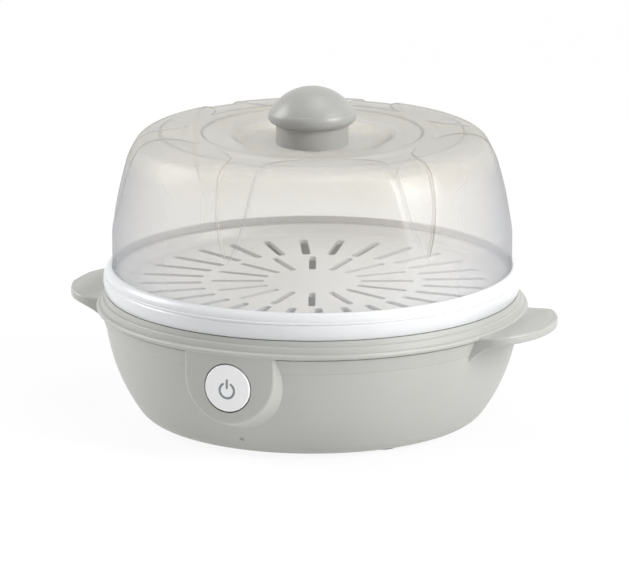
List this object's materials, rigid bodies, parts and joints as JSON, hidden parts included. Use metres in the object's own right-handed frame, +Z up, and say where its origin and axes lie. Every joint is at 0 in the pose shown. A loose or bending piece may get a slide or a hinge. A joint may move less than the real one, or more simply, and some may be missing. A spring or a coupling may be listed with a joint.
{
  "type": "steam sterilizer",
  "caption": "Round table-top steam sterilizer for baby items: handled base with heating plate and button, lift-out slotted tray and domed translucent lid with a mushroom knob",
  "frame": {"origin": "on the table under the middle of the appliance", "axes": "+X runs along the two handles, -Y is the front with the power button, +Z is up"},
  "size_m": [0.26, 0.2192, 0.171],
  "materials": {
    "housing_plastic": "moulded satin light grey, fine even texture",
    "tray_plastic": "moulded white, semi-gloss",
    "basin_plastic": "moulded light grey, semi-gloss",
    "lid_plastic": "translucent frosted polypropylene, glossy outside",
    "knob_plastic": "moulded satin mid grey",
    "button_plastic": "moulded white, semi-gloss",
    "symbol_ink": "grey pad-printed ink in a shallow recess",
    "foot_rubber": "matt",
    "gland_rubber": "matt",
    "silicone": "matt silicone",
    "plate_steel": "brushed stainless",
    "fixing_steel": "zinc plated",
    "spring_steel": "bright spring wire",
    "spreader_aluminium": "cast, matt",
    "coil_sheath": "drawn tube, matt",
    "terminal_ceramic": "unglazed bead with a plated blade",
    "thermostat_shell": "phenolic, matt",
    "fuse_shell": "resin sealed, matt",
    "inner_plastic": "moulded natural nylon",
    "cover_plastic": "moulded light grey, textured",
    "board_laminate": "paper laminate with green solder mask below",
    "relay_case": "moulded blue",
    "module_case": "moulded black",
    "capacitor_sleeve": "shrink sleeve",
    "lead_insulation": "silicone insulation",
    "lamp_lens": "clear moulded lens"
  },
  "bodies": {
    "base": {"outer_housing": "housing_plastic", "water_basin": "basin_plastic", "heating_plate": "plate_steel", "plate_gasket": "silicone", "clamp_ring": "fixing_steel", "clamp_screws": "fixing_steel", "heat_spreader": "spreader_aluminium", "heater_coil": "coil_sheath", "heater_terminals": "terminal_ceramic", "thermostat": "thermostat_shell", "thermal_fuse": "fuse_shell", "fuse_clip": "fixing_steel", "spreader_screws": "fixing_steel", "bottom_cover": "cover_plastic", "housing_screws": "fixing_steel", "rubber_feet": "foot_rubber", "control_board": "board_laminate", "board_screws": "fixing_steel", "relay": "relay_case", "power_module": "module_case", "smoothing_capacitor": "capacitor_sleeve", "board_connector": "inner_plastic", "terminal_block": "inner_plastic", "button_spring": "spring_steel", "button_guide": "inner_plastic", "guide_screws": "fixing_steel", "switch_board": "board_laminate", "switch_board_screws": "fixing_steel", "tact_switch": "module_case", "indicator_led": "lamp_lens", "cord_gland": "gland_rubber", "supply_leads": "lead_insulation", "heater_leads": "lead_insulation", "switch_lead": "lead_insulation"},
    "power_button": {"button_cap": "button_plastic", "power_symbol": "symbol_ink"},
    "tray": {"steam_tray": "tray_plastic"},
    "lid": {"lid_dome": "lid_plastic", "lid_knob": "knob_plastic", "knob_washer": "silicone", "knob_screw": "fixing_steel"}
  },
  "joints": [
    {"name": "button_press", "type": "slide", "parent": "base", "child": "power_button", "axis": [0, 1, 0], "range_m": [0, 0.0015], "stiffness_N_per_m": 600, "deforming": ["button_spring"]},
    {"name": "tray_lift", "type": "slide", "parent": "base", "child": "tray", "axis": [0, 0, 1], "range_m": [0, 0.1]},
    {"name": "lid_lift", "type": "slide", "parent": "tray", "child": "lid", "axis": [0, 0, 1], "range_m": [0, 0.12]}
  ]
}
